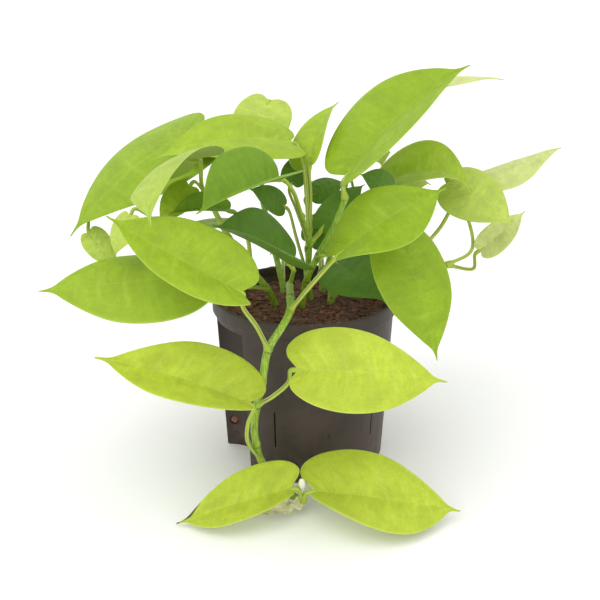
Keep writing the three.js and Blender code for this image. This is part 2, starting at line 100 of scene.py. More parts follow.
# the leaves
ROWS = 96  # steps along a leaf's outline
COLS = 13  # steps from the midrib to the margin
COL_SPREAD = 1.3  # power by which these steps crowd at the midrib
RIM_FROM = 0.972  # where the last step begins, which rounds the margin
BLADE = 0.44  # thickness of a leaf blade
SHEATH_THICK = 0.14
STILL = 0.4  # the place along a leaf that a twist leaves where it is
SIDE_VEINS = 10
VEIN_BEND = 1.2  # power by which side veins bend on their way to the margin
VEIN_DEPTH = 0.07  # of the furrows at side veins
FOLD_SOFT = 1.6  # half width in which a fold is rounded
CUP = 0.5  # for leaves that give none of their own
GROOVE = (0.26, 0.9)  # depth and half width of the midrib's groove above
RIDGE = (0.25, 0.75, 0.95)  # below: height at the tip, what the base adds, half width
WAVES = 4  # waves added up in the margin
WAVE_TURNS, WAVE_SIZE = (1.3, 3.4), (0.12, 0.34)
WAVE_APART = 1.3  # phase between the two halves
WAVE_LENGTH = 80  # leaf length at which waves have their full size
WAVE_EDGE = 2.5  # power by which waves grow toward the margin
UNEVEN = 0.02  # most by which one half is wider
TEARS = 9  # tears along a ragged margin
LOWEST = 0.5  # height that no blade goes below
NO_AREA = 1e-7  # a cross product below this gives no normal
DRY_LEAF, DRY_SIDE = 1, -1  # the leaf with a withered margin, and the half
# Along the blade: its start and the run in which it widens. Across: edge, depth, fading.
DRY_FROM, DRY_RUN = 0.8, 0.08
DRY_EDGE, DRY_DEPTH, DRY_SOFT = 0.99, 0.7, 0.06

# the vines
ROUTE_STEP = 0.6  # distance between the rings of a tube
ROUTE_FINE = 24  # steps per span in measuring a route
ROUTE_LEAST = 6
STEM_SIDES, PETIOLE_SIDES, YOUNG_SIDES, ROOT_SIDES, FIBRE_SIDES = 20, 18, 14, 8, 5
UV_LENGTH = 100  # distance along a tube that counts as 1
MARKS = ("petiole", "groove", "lip", "scar", "pale")
NO_MARKS = (0, 0, 0, 0, 0)
SWELL = (0.16, 2.4)  # how much a node thickens the stem, and half its length
SCAR = (1.5, 0.6, 0.06)  # a scar ring: distance past the node, half its width, depth
DRY_TONE = 0.9  # how brown scars and air roots are
PETIOLE_R = 1.28
PETIOLE_FOOT = (1.3, 4.5)  # what the foot adds, and half its length
PETIOLE_GROOVE = (0.42, 0.5)  # depth over the radius, and half width in radians
PETIOLE_LIP = (0.82, 0.3)  # place and half width of the lips beside it, in radians
PETIOLE_END = (0.14, 9)  # part of the blade it runs under, and the most of it
KNEE = (0.35, 3, 3.5)  # the knee below the blade: what it adds, its distance, half its length
PETIOLE_UNDER = (0.9, 0.75)  # how far below the blade a petiole's last two points are
NECK = 5  # length of the bend where a petiole turns into its blade, unless it gives its own
SHORT_LEAF, SLIM = 34, 0.8  # below this length a leaf's petiole is thinner by that factor
ROOTS_FROM = 114  # air roots show from this height

# the stage
FLOOR_SIZE = 60  # metres, as is the camera's place
CAMERA_PLACE = (-0.0032, -0.650, 0.3476)
CAMERA_DOWN = 19.73  # degrees
LENS = 58.5

# Half of a leaf's outline, base to tip, in leaf lengths: where the side vein to a point leaves the
# midrib, then the point: along the midrib, out from it.
HALF = [
    (0, 0, 0), (0.02, -0.035, 0.055), (0.045, -0.07, 0.13), (0.08, -0.065, 0.215), (0.14, 0, 0.3),
    (0.22, 0.11, 0.362), (0.33, 0.26, 0.385), (0.46, 0.42, 0.365), (0.59, 0.57, 0.31),
    (0.71, 0.71, 0.215), (0.82, 0.83, 0.11), (0.91, 0.915, 0.026), (1, 1, 0),
]
HALF_MAX = max(point[2] for point in HALF)

# Leaves by number: base, tip, the way the upper face looks, the tone, width over length, then the
# form: arch (mm toward the face), fold and twist (degrees), skew (one half slid along the other)
# and cup (how far the margins droop).
LEAVES = {
    1: ((-10, -100, 21), (-82.5, -112, 2.5), (0.2, -0.4, 1), "lime", 0.61,
        dict(arch=2, fold=32, twist=-25, skew=0.37)),
    2: ((7, -103, 21), (100, -107, 9), (-0.03, -0.48, 1), "lime", 0.72,
        dict(arch=3, fold=25, twist=54, skew=-0.28)),
    3: ((-35.7, -104.5, 84.6), (-125, -119, 121), (-0.07, -0.39, 0.86), "lime", 0.63,
        dict(arch=4.4, fold=28, twist=-40, skew=0.32)),
    4: ((-4, -95, 102.5), (87.5, -103, 98), (-0.19, -0.42, 0.43), "lime", 0.64,
        dict(arch=5.3, fold=15, twist=30, skew=-0.18)),
    5: ((-38.5, -101, 156), (-114, -110, 205), (-0.19, -0.42, 0.73), "fresh", 0.67,
        dict(arch=-1.5, fold=29, twist=-29, skew=0.06)),
    6: ((-64, -62, 154), (-167, -75, 147), (-0.1, -0.37, 0.92), "fresh", 0.7, dict(twist=-22)),
    7: ((21, -70, 170), (87, -62, 210), (0, -0.48, 0.87), "apple", 0.72,
        dict(arch=5, fold=14, twist=80, skew=-0.2)),
    8: ((61, -45, 173), (84, -80, 102), (0.3, -0.85, 0.4), "apple", 0.62, dict(arch=6)),
    9: ((-9, -38, 153), (-56, -82, 192), (0, -0.4, 0.92), "deep", 1,
        dict(arch=2, fold=38, skew=0.15)),
    10: ((-16, -50, 213), (-63, -106, 205), (0, -0.36, 0.93), "grass", 0.92, dict(arch=3, fold=46)),
    11: ((-69, -46, 224), (-88, -114, 199), (-0.65, -0.45, 0.6), "soft", 0.76, dict(arch=17)),
    12: ((-69, 14, 236), (-154, -34, 171), (-0.5, -0.5, 0.72), "apple", 0.7, dict(arch=9)),
    13: ((-10, 4, 226), (-98, -26, 220), (-0.1, -0.42, 0.9), "fresh", 0.62, dict(arch=9, fold=12)),
    14: ((-25, 44, 248), (-42, 12, 204), (0, -0.7, 0.7), "pale", 0.72, dict(arch=5)),
    15: ((3, 0, 212), (24, 45, 247), (-0.7, -0.5, 0.4), "fresh", 0.66, dict(arch=5, fold=28)),
    16: ((27, -33, 212), (107, -5, 278), (-0.56, -0.28, 0.78), "apple", 0.84,
         dict(arch=7, fold=24, twist=12, skew=0.1)),
    17: ((63, 30, 260), (142, 55, 261), (0, 0.05, 0.99), "milky", 0.62, dict(arch=4)),
    18: ((32, 36, 221), (61, 43, 212), (0, -0.85, 0.5), "mid", 0.85, dict(arch=4)),
    19: ((53, 6, 197), (119, 24, 187), (0, -0.35, 0.94), "fresh", 0.98,
         dict(arch=14, fold=32, skew=0.35)),
    20: ((56, 34, 190), (92, 46, 187), (0, -0.5, 0.85), "pale", 0.7, dict(arch=6)),
    21: ((106, 37, 192), (148, 20, 163), (0, -0.65, 0.75), "pale", 0.86, dict(arch=6)),
    22: ((122, 61, 188), (192, 73, 209), (0, 0, 1), "milky", 0.76, dict(cup=0.8)),
    23: ((129, 32, 142), (162, 44, 168), (0.2, -0.88, 0.4), "milky", 0.6, dict(fold=34)),
    24: ((-48, -50, 193), (-84, -72, 196), (0, -0.4, 0.92), "grass", 0.66, dict(arch=3, fold=35)),
    25: ((-9, 8, 197), (-2, 17, 217), (0, -0.9, 0.3), "deep", 0.8, dict(arch=2)),
    26: ((22, 8, 140), (54, -38, 126), (-0.1, -0.6, 0.8), "deep", 0.76, dict(arch=3, fold=8)),
    27: ((-143, -26, 171), (-125, -30, 147), (0.2, -0.9, 0.3), "pale", 0.62, dict(arch=1)),
    28: ((-111, -53, 190), (-120, -60, 165), (-0.5, -0.7, 0.4), "pale", 0.8, dict(arch=3)),
    29: ((-73, -49, 208), (-91, -63, 186), (0, -0.7, 0.6), "fresh", 0.66, dict(arch=4)),
    30: ((-14, 0, 183), (-38, -8, 197), (0, -0.7, 0.7), "deep", 0.7, dict(arch=3)),
    31: ((5, 21, 186), (29, 32, 192), (0, -0.6, 0.8), "deep", 0.8, dict(arch=3)),
    32: ((12, -6, 169), (42, 13, 195), (-0.2, -0.6, 0.8), "deep", 0.6, dict(arch=5)),
    33: ((4, 6, 156), (26, 16, 180), (-0.2, -0.8, 0.5), "deep", 0.7, dict(arch=3)),
    34: ((-40, 72, 214), (-112, 92, 182), (-0.3, 0.2, 0.93), "fresh", 0.66, dict(arch=10)),
    35: ((36, 70, 204), (64, 124, 182), (0.1, 0.4, 0.9), "fresh", 0.62, dict(arch=10)),
    36: ((48, 66, 152), (92, 108, 128), (0.4, 0.5, 0.75), "apple", 0.68, dict(arch=8)),
    37: ((-46, 62, 156), (-104, 88, 132), (-0.4, 0.5, 0.75), "mid", 0.68, dict(arch=8)),
    38: ((-16, 80, 108), (-44, 100, 38), (-0.1, 0.95, 0.3), "lime", 0.6, dict(arch=6)),
    39: ((18, 86, 98), (42, 104, 26), (0.2, 0.95, 0.25), "lime", 0.64, dict(arch=6)),
    40: ((56, -29, 203), (35, -32, 212), (0, -0.8, 0.5), "deep", 0.8, dict(arch=2)),
}
SHEATH = ((-3.2, -98, 9.4), (-31, -104, 5), (-0.1, -0.85, 0.5), None, 0.28,
          dict(arch=2, fold=14))

# Vines: the stem's points and radii at both ends, and for each leaf's petiole the stem point it
# leaves from, the points it passes and, for some, the length of the bend below the blade.
VINES = {
    "vine_front": dict(
        stem=[(-10, 8, 96), (-10, 6, 112), (-10.5, -8, 128), (-9.7, -40, 131), (-9.7, -58, 127.7),
              (-14, -70, 122.6), (-23.4, -80, 109.6), (-27.4, -82, 87), (-30.7, -82, 72),
              (-33, -80, 55), (-32, -78, 42), (-29, -72, 26), (-20, -74, 13), (-8, -88, 9),
              (-1, -96, 10)],
        radii=(2.7, 2.2),
        bud=[(-1, -96, 10), (-1.6, -97, 19), (-2.2, -98.2, 27.5)],
        petioles={
            9: (2, [(-8, -22, 142)]), 7: (4, [(4, -66, 148)]),
            5: (6, [(-30, -90, 129), (-38, -98, 146)], 2), 4: (8, [(-20, -90, 82), (-10, -92, 93)]),
            3: (11, [(-37, -84, 46), (-36, -96, 66)]), 2: (14, []), 1: (14, []),
        }),
    "vine_tall": dict(
        stem=[(-2, -4, 96), (-2, -6, 112), (1, -12, 132), (9, -24, 155), (19, -29, 176),
              (26, -33, 196)],
        radii=(2.6, 1.9),
        shoot=[(9, -24, 155), (12, -28, 156), (15, -31, 157), (18, -33, 159)],
        petioles={16: (5, []), 8: (3, [(32, -34, 164)])}),
    "vine_centre": dict(
        stem=[(4, 8, 96), (4, 7, 112), (2, 0, 132), (3, -8, 158), (-2, -18, 180)],
        radii=(2.5, 1.8),
        petioles={
            10: (4, [(-9, -44, 206)]), 13: (3, [(1, -4, 192), (-1, -3, 214)]),
            15: (3, [(4, 0, 190)]), 25: (3, [(-6, 4, 180)]), 30: (2, [(-6, 2, 160)]),
            31: (3, [(5, 8, 172)]), 32: (3, []), 33: (2, [(2, 3, 146)]),
        }),
    "vine_left": dict(
        stem=[(-20, -2, 96), (-21, -4, 112), (-26, -14, 128), (-36, -26, 146), (-50, -28, 168),
              (-62, -22, 190)],
        radii=(2.6, 1.8),
        petioles={
            6: (2, [(-46, -48, 142)]), 11: (5, [(-66, -38, 206)]), 12: (5, [(-58, 2, 216)]),
            24: (3, [(-38, -36, 172)]),
            27: (5, [(-92, -6, 196), (-124, -15, 189), (-142, -20, 182)], 1),
            28: (4, [(-88, -44, 180)]), 29: (4, [(-60, -32, 190)]),
        }),
    "vine_right": dict(
        stem=[(18, 4, 96), (19, 5, 112), (30, 15, 124), (52, 22, 136), (74, 26, 134),
              (104, 30, 131)],
        radii=(2.5, 1.6),
        petioles={
            23: (5, [(124, 31, 128)]), 21: (5, [(122, 33, 141), (118, 36, 166)]),
            22: (4, [(100, 42, 156)]), 19: (3, [(56, 14, 176)]), 20: (3, [(55, 28, 168)]),
            26: (1, [(18, 12, 124)]), 18: (2, [(36, 26, 180)]),
            40: (3, [(54, -2, 160), (59, -20, 188)]),
        }),
    "vine_back_left": dict(
        stem=[(-14, 24, 96), (-15, 26, 112), (-22, 38, 140), (-30, 50, 172), (-32, 56, 200)],
        radii=(2.5, 1.8),
        petioles={
            34: (4, []), 14: (4, [(-28, 54, 230)], 0), 37: (2, [(-34, 50, 150)]),
            38: (1, [(-16, 58, 124), (-16, 74, 122)]),
        }),
    "vine_back_right": dict(
        stem=[(12, 24, 96), (13, 26, 112), (20, 40, 140), (28, 52, 176), (36, 58, 206)],
        radii=(2.5, 1.8),
        petioles={
            35: (4, []), 17: (4, [(50, 44, 240)]), 36: (2, [(36, 56, 148)]),
            39: (1, [(12, 58, 126), (14, 76, 122)]),
        }),
}


# ---------------- node helpers
def linear(rgb):
    """A colour given as 0..255 screen values, as the linear values that shaders take."""
    out = [v / 255 / 12.92 if v <= 10 else ((v / 255 + 0.055) / 1.055) ** 2.4 for v in rgb]
    return (*out, 1.0)


def brighter(rgb, by, times=1):
    return [min(255, v * times + by) for v in rgb]


class Nodes:
    """A short way to write a material's node tree."""

    def __init__(self, name):
        self.material = bpy.data.materials.new(name)
        self.material.use_nodes = True
        self.tree = self.material.node_tree
        self.shader = self.tree.nodes["Principled BSDF"]

    def put(self, socket, value):
        if isinstance(value, bpy.types.NodeSocket):
            self.tree.links.new(value, socket)
        else:
            socket.default_value = value

    def new(self, kind, *values):
        """A new node, its first inputs set to the values."""
        n = self.tree.nodes.new("ShaderNode" + kind)
        for socket, value in zip(n.inputs, values):
            self.put(socket, value)
        return n

    def set(self, **values):
        for key, value in values.items():
            self.put(self.shader.inputs[key.replace("_", " ")], value)

    def math(self, operation, *values):
        n = self.new("Math", *values)
        n.operation = operation
        return n.outputs[0]

    def times(self, a, b):
        return self.math("MULTIPLY", a, b)

    def plus(self, a, b):
        return self.math("ADD", a, b)

    def ramp(self, value, low, high, to_low=0.0, to_high=1.0):
        n = self.new("MapRange", value, low, high, to_low, to_high)
        n.interpolation_type = "SMOOTHSTEP"
        return n.outputs[0]

    def mix(self, factor, a, b):
        """From a to b by the factor. Both are sockets or 0..255 screen values."""
        n = self.new("Mix")
        n.data_type = "RGBA"
        self.put(n.inputs[0], factor)
        for socket, value in ((n.inputs[6], a), (n.inputs[7], b)):
            self.put(socket, linear(value) if isinstance(value, (tuple, list)) else value)
        return n.outputs[2]

    def layers(self, colour, *layers):
        """A colour with others laid over it in turn, each given as (factor, colour)."""
        for factor, over in layers:
            colour = self.mix(factor, colour, over)
        return colour

    def places(self):
        return self.new("TexCoord").outputs["Object"]

    def split(self, vector):
        return self.new("SeparateXYZ", vector).outputs

    def point(self, *values):
        return self.new("CombineXYZ", *values).outputs[0]

    def stretched(self, *scale):
        n = self.new("Mapping", self.places())
        n.inputs["Scale"].default_value = scale
        return n.outputs[0]

    def noise(self, scale, detail, vector=None, roughness=0.5):
        n = self.new("TexNoise", self.places() if vector is None else vector)
        n.inputs["Scale"].default_value = scale
        n.inputs["Detail"].default_value = detail
        n.inputs["Roughness"].default_value = roughness
        return n.outputs[0]

    def cells(self, scale):
        n = self.new("TexVoronoi", self.places())
        n.inputs["Scale"].default_value = scale
        return n.outputs["Distance"]

    def value(self, name):
        n = self.new("Attribute")
        n.attribute_name = name
        return n.outputs["Fac"]

    def uv(self):
        n = self.new("UVMap")
        n.uv_map = "UVMap"
        return self.split(n.outputs[0])[:2]

    def bump(self, distance, strength, *heights):
        """Relief from a sum of heights, each given as (value, share)."""
        total = self.times(*heights[0])
        for height in heights[1:]:
            total = self.plus(total, self.times(*height))
        n = self.new("Bump")
        n.inputs["Strength"].default_value = strength
        n.inputs["Distance"].default_value = distance
        self.put(n.inputs["Height"], total)
        return n.outputs[0]


# ---------------- materials
# Noise is given as (scale, detail), ramps as (from, to, value before, value after).
# Tones of the leaves: blade, veins, underside, roughness. Each leaf got the tone that matched how
# bright it looks, so the tones hold both the leaves' own colour and painted light and shade: deep
# and grass are partly the darker green of older leaves and partly painted shade on leaves inside
# the plant and under others. The lighter tones given to some leaves, such as pale on leaf 20, are
# painted light.
TONES = {
    "lime": ((185, 203, 60), (206, 219, 116), (184, 202, 84), 0.52),
    "fresh": ((158, 187, 44), (184, 207, 96), (160, 186, 66), 0.52),
    "apple": ((144, 175, 32), (172, 198, 86), (150, 178, 60), 0.5),
    "mid": ((132, 160, 42), (160, 184, 84), (138, 164, 60), 0.5),
    "grass": ((118, 156, 30), (144, 176, 70), (122, 154, 50), 0.48),
    "soft": ((172, 196, 82), (186, 206, 114), (166, 190, 84), 0.56),
    "pale": ((184, 205, 88), (202, 220, 130), (184, 204, 100), 0.56),
    "milky": ((204, 214, 132), (216, 225, 156), (206, 216, 136), 0.56),
    "deep": ((94, 136, 38), (120, 152, 64), (96, 130, 44), 0.45),
}
WITHERED = ((104, 98, 44), (60, 56, 26))
STREAKS = (26.0, 3.0)  # how close they lie along a leaf and across it
CREASES = (9.0, 1.6)
OTHER_HALF = 7.0  # sets the creases of one half apart from those of the other


def leaf_material(name, blade, veins, under, rough):
    n = Nodes(name)
    t, across = n.uv()
    f = n.math("ABSOLUTE", n.times(n.math("SUBTRACT", across, 0.5), 2.0))
    own = n.value("leaf")

    # side veins leave the midrib at even steps of t, and streaks between them fade to the margin;
    # in the colour the streaks are a painted highlight, stronger toward the midrib
    step = n.math("FRACT", n.times(t, SIDE_VEINS))
    wave = n.math("ABSOLUTE", n.math("SUBTRACT", step, 0.5))
    side = n.times(n.ramp(wave, 0.36, 0.5), n.ramp(f, 0.4, 0.95, 1.0, 0.0))
    place = n.point(n.times(t, STREAKS[0]), n.times(across, STREAKS[1]), own)
    streak = n.noise(1.0, 5, place, 0.6)
    # creases: soft folds, sunk in the relief and darkened in the colour as painted shade
    half = n.times(n.ramp(across, 0.499, 0.501), OTHER_HALF)
    place = n.point(n.times(t, CREASES[0]), n.times(f, CREASES[1]), n.plus(own, half))
    crease = n.ramp(n.noise(1.0, 2, place), 0.44, 0.7)
    crease = n.times(crease, n.ramp(f, 0.75, 1.0, 1.0, 0.2))
    midrib = n.ramp(f, 0.006, 0.03, 1.0, 0.0)
    margin = n.ramp(f, 0.966, 0.99)

    cloud = n.noise(34, 3)
    patch = n.noise(230, 5)
    speck = n.noise(1300, 2)
    net = n.cells(560)
    darker = [v * 0.88 for v in blade]
    lighter = brighter(blade, 10, 1.1)
    upper = n.layers(
        blade,
        (n.ramp(cloud, 0.3, 0.7, 0.0, 0.5), darker),
        (n.ramp(patch, 0.38, 0.7, 0.0, 0.42), darker),
        # painted highlight: lighter streaks between the side veins
        (n.times(n.ramp(streak, 0.42, 0.75), n.ramp(f, 0.1, 0.9, 0.4, 0.15)), lighter),
        # painted shade in the soft folds
        (n.times(crease, 0.7), darker),
        (n.ramp(speck, 0.48, 0.75, 0.0, 0.3), lighter),
        (n.ramp(net, 0.0, 0.7, 0.2, 0.0), darker),
        (n.times(side, 0.12), veins),
        (n.times(midrib, 0.17), veins),
        (n.times(margin, 0.5), brighter(veins, 22)),
    )
    lower = n.layers(
        under,
        (n.times(side, 0.25), brighter(under, 18)),
        (n.times(midrib, 0.8), veins),
    )
    brown = n.mix(n.ramp(patch, 0.3, 0.7), *WITHERED)
    n.set(
        Base_Color=n.layers(upper, (n.value("under"), lower), (n.value("wither"), brown)),
        Roughness=n.ramp(patch, 0.2, 0.8, rough - 0.05, rough + 0.1),
        Specular_IOR_Level=0.25,
        Subsurface_Weight=0.22,
        Subsurface_Radius=(0.6, 1.0, 0.15),
        Subsurface_Scale=0.0007,
        Normal=n.bump(0.00025, 0.7, (side, -0.2), (streak, 0.45), (crease, -0.8), (speck, 0.12),
                      (net, 0.2)),
    )
    return n.material


def vine_material():
    n = Nodes("green_stem")
    streak = n.noise(1.0, 3, n.stretched(900, 900, 130))
    fleck = n.ramp(n.noise(700, 2), 0.66, 0.74)
    n.set(
        Base_Color=n.layers(
            (118, 156, 34),
            (n.ramp(streak, 0.35, 0.68), (172, 200, 72)),
            (n.ramp(n.noise(90, 3), 0.35, 0.75, 0.0, 0.5), (146, 182, 44)),
            (n.value("petiole"), (168, 190, 58)),
            (n.times(n.value("groove"), 0.8), (100, 104, 40)),
            (n.times(n.value("lip"), 0.75), (206, 212, 130)),
            (n.times(fleck, 0.3), (120, 96, 52)),
            (n.value("scar"), (72, 56, 38)),
            # pale growing ends; the shoot's pale tip is a painted highlight
            (n.value("pale"), (236, 232, 214)),
        ),
        Roughness=n.ramp(streak, 0.2, 0.8, 0.36, 0.55),
        Subsurface_Weight=0.15,
        Subsurface_Radius=(0.7, 1.0, 0.2),
        Subsurface_Scale=0.001,
        Normal=n.bump(0.00025, 0.6, (streak, 0.7), (n.noise(1400, 2), 0.2)),
    )
    return n.material


def sheath_material():
    n = Nodes("dry_sheath")
    fibre = n.noise(1.0, 4, n.stretched(90, 900, 900))
    blotch = n.noise(220, 4)
    n.set(
        Base_Color=n.layers(
            (186, 184, 134),
            (n.ramp(fibre, 0.35, 0.65), (222, 220, 184)),
            (n.ramp(blotch, 0.5, 0.72, 0.0, 0.7), (150, 122, 84)),
        ),
        Roughness=n.ramp(blotch, 0.2, 0.8, 0.6, 0.85),
        Subsurface_Weight=0.2,
        Subsurface_Radius=(1.0, 0.9, 0.6),
        Subsurface_Scale=0.0006,
        Normal=n.bump(0.0004, 0.8, (fibre, 1.0)),
    )
    return n.material


def pot_material():
    n = Nodes("brown_polypropylene")
    streak = n.noise(1.0, 4, n.stretched(260, 260, 14))
    scuff = n.noise(1.0, 5, n.stretched(60, 60, 900), 0.6)
    foot = n.ramp(n.split(n.places())[2], 0.0, 0.03, 1.0, 0.0)
    dust = n.times(foot, n.ramp(n.noise(120, 5), 0.42, 0.65, 0.0, 0.55))
    n.set(
        Base_Color=n.layers(
            (62, 53, 48),
            (n.ramp(n.noise(34, 4), 0.3, 0.7), (75, 64, 58)),
            (n.ramp(streak, 0.5, 0.72, 0.0, 0.35), (82, 71, 65)),
            (n.ramp(scuff, 0.62, 0.72, 0.0, 0.3), (98, 87, 80)),
            (dust, (104, 90, 78)),
        ),
        Roughness=n.ramp(streak, 0.25, 0.75, 0.44, 0.62),
        Specular_IOR_Level=0.3,
        Normal=n.bump(0.00012, 0.6, (n.noise(1900, 3), 0.5), (scuff, 0.5)),
    )
    return n.material


def bark_material():
    n = Nodes("bark_substrate")
    fibre = n.noise(1.0, 4, n.stretched(700, 700, 220))
    crumb = n.noise(480, 5)
    fine = n.noise(2200, 3)
    n.set(
        Base_Color=n.layers(
            (62, 46, 38),
            (n.ramp(crumb, 0.35, 0.65), (118, 84, 68)),
            (n.ramp(n.value("shade"), 0.0, 1.0, 0.0, 0.8), (150, 100, 82)),
            (n.ramp(fibre, 0.5, 0.75, 0.0, 0.6), (176, 128, 106)),
            (n.ramp(fine, 0.58, 0.75, 0.0, 0.7), (34, 22, 18)),
        ),
        Roughness=n.ramp(crumb, 0.2, 0.8, 0.8, 0.98),
        Normal=n.bump(0.0006, 0.9, (fibre, 0.6), (fine, 0.4)),
    )
    return n.material


def floor_material():
    n = Nodes("pale_floor")
    colour = n.mix(n.ramp(n.noise(3, 2), 0.3, 0.7), (250, 250, 250), (253, 253, 252))
    n.set(Base_Color=colour, Roughness=0.7)
    return n.material


# ---------------- mesh helpers
def bare(name, points, faces):
    """A linked object from points in millimetres."""
    mesh = bpy.data.meshes.new(name)
    mesh.from_pydata([tuple(float(c) * MM for c in p) for p in points], [], faces)
    thing = bpy.data.objects.new(name, mesh)
    bpy.context.scene.collection.objects.link(thing)
    return thing


def mesh_piece(name, points, faces, material, nodes, attributes, uv=None, smooth=True):
    """A visible piece. Attributes are (name, one number per point)."""
    piece = bare(name, points, faces)
    mesh = piece.data
    for key, values in attributes:
        values = np.asarray(values, np.float32)
        mesh.attributes.new(key, "FLOAT", "POINT").data.foreach_set("value", values)
    if uv is not None:
        layer = mesh.uv_layers.new(name="UVMap")
        corner = np.zeros(len(mesh.loops), np.int32)
        mesh.loops.foreach_get("vertex_index", corner)
        layer.data.foreach_set("uv", np.asarray(uv, np.float32)[corner].ravel())
    mesh.validate()
    mesh.polygons.foreach_set("use_smooth", [smooth] * len(mesh.polygons))
    mesh.materials.append(material)
    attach(piece, "root")
    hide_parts(*nodes)
    return piece


def outward(mesh):
    bm = bmesh.new()
    bm.from_mesh(mesh)
    bmesh.ops.recalc_face_normals(bm, faces=bm.faces)
    bm.to_mesh(mesh)
    bm.free()


def join(whole, part):
    """Adds a part's points and faces to the whole, and its lists of one value per point."""
    shift = len(whole[0])
    whole[0].extend(part[0])
    whole[1].extend([v + shift for v in face] for face in part[1])
    for values, more in zip(whole[2:], part[2:]):
        values.extend(more)


def once(ring):
    """The corners of a face, without those that come again."""
    return list(dict.fromkeys(ring))


def polar(r, a):
    return r * cos(a), r * sin(a)


def circle(r, z, count):
    return [(*polar(r, TURN * k / count), z) for k in range(count)]


def lump(subdivisions, moved):
    """Points and faces of a ball of radius 1, with each point moved."""
    bm = bmesh.new()
    bmesh.ops.create_icosphere(bm, subdivisions=subdivisions, radius=1)
    points = [moved(v.co) for v in bm.verts]
    faces = [[v.index for v in f.verts] for f in bm.faces]
    bm.free()
    return points, faces


def unit(v):
    return v / max(np.linalg.norm(v), 1e-9)


def clamp(x):
    return min(1.0, max(0.0, x))


def hill(x, width):
    return exp(-((x / width) ** 2))


def with_ends(p):
    """The points with one more at each end, in line with the last two there."""
    return np.vstack([2 * p[0] - p[1], p, 2 * p[-1] - p[-2]])


def catmull(values, steps):
    """A smooth curve through rows of values, with so many steps between two of them."""
    v = np.array(values, float)
    ends = with_ends(v)
    out = []
    for k in range(len(v) - 1):
        a, b, c, d = ends[k:k + 4]
        for s in range(steps):
            x = s / steps
            out.append(0.5 * (2 * b + (c - a) * x + (2 * a - 5 * b + 4 * c - d) * x ** 2
                              + (3 * b - a - 3 * c + d) * x ** 3))
    out.append(v[-1])
    return np.array(out)


def route(points):
    """The centripetal curve through the points, as even points and their distance along it."""
    p = np.array(points, float)
    ends = with_ends(p)
    out = []
    for k in range(len(p) - 1):
        a, b, c, d = ends[k:k + 4]
        d0, d1, d2 = (max(np.linalg.norm(y - x) ** 0.5, 1e-3) for x, y in ((a, b), (b, c), (c, d)))
        t1 = ((b - a) / d0 - (c - a) / (d0 + d1) + (c - b) / d1) * d1
        t2 = ((c - b) / d1 - (d - b) / (d1 + d2) + (d - c) / d2) * d1
        for s in range(ROUTE_FINE):
            x = s / ROUTE_FINE
            out.append(b + t1 * x + (-3 * b + 3 * c - 2 * t1 - t2) * x ** 2
                       + (2 * b - 2 * c + t1 + t2) * x ** 3)
    out.append(p[-1])
    out = np.array(out)
    gone = np.concatenate([[0], np.cumsum(np.linalg.norm(np.diff(out, axis=0), axis=1))])
    even = np.linspace(0, gone[-1], max(ROUTE_LEAST, int(gone[-1] / ROUTE_STEP)))
    return np.stack([np.interp(even, gone, out[:, i]) for i in range(3)], axis=1), even


# ---------------- leaves
OUTLINE = catmull(HALF, ROWS // (len(HALF) - 1))


def leaf_axes(leaf):
    base, tip, face = (np.array(v, float) for v in leaf[:3])
    along = tip - base
    length = np.linalg.norm(along)
    along = along / length
    up = unit(face - along * face.dot(along))
    return base, along, up, np.cross(up, along), length


def surface_normals(place, up):
    """Unit normals of the blade's points, the same for a whole row where base and tip narrow."""
    normal = np.cross(np.gradient(place, axis=0), np.gradient(place, axis=1))
    size = np.linalg.norm(normal, axis=2, keepdims=True)
    normal = np.where(size > NO_AREA, normal / np.maximum(size, NO_AREA), 0)
    normal[0] = normal[2].mean(axis=0)
    found = np.abs(normal[1]).sum(axis=1, keepdims=True) > 0.5
    normal[1] = np.where(found, normal[1], normal[2])
    normal[-1] = normal[-3].mean(axis=0)
    return normal if normal[ROWS // 2, COLS].dot(up) >= 0 else -normal


def dryness(t, across):
    """How withered a place is. across counts up to 1 at the withered margin."""
    if t <= DRY_FROM:
        return 0.0
    edge = DRY_EDGE - DRY_DEPTH * min(1.0, (t - DRY_FROM) / DRY_RUN)
    return clamp((across - edge) / DRY_SOFT)


